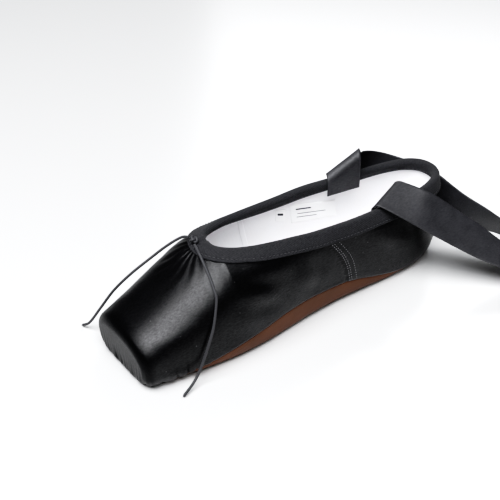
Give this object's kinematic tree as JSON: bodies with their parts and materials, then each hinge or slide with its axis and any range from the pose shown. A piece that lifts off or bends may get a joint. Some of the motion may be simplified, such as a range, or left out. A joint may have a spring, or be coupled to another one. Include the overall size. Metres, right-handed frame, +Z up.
{
  "type": "pointe shoe",
  "caption": "Black satin pointe shoe with a blocked toe, leather sole, bound collar, drawstring and ankle ribbons, standing empty on its sole.",
  "frame": {"origin": "on the floor under the middle of the shoe", "axes": "+Z up, -Y towards the toe and +Y towards the heel, X across the shoe"},
  "size_m": [0.1767, 0.4084, 0.0718],
  "materials": {
    "satin": "soft satin sheen",
    "sole_leather": "smooth matte leather",
    "lining": "plain white canvas",
    "twill": "matte cotton twill",
    "cord": "braided cotton",
    "ribbon": "satin face with woven edges"
  },
  "bodies": {
    "root": {"upper": "satin", "outsole": "sole_leather", "insole": "lining", "binding": "twill", "drawstring_knot": "cord", "drawstring_end_near": "cord", "drawstring_end_far": "cord", "ribbon_near": "ribbon", "ribbon_far": "ribbon"}
  },
  "joints": []
}
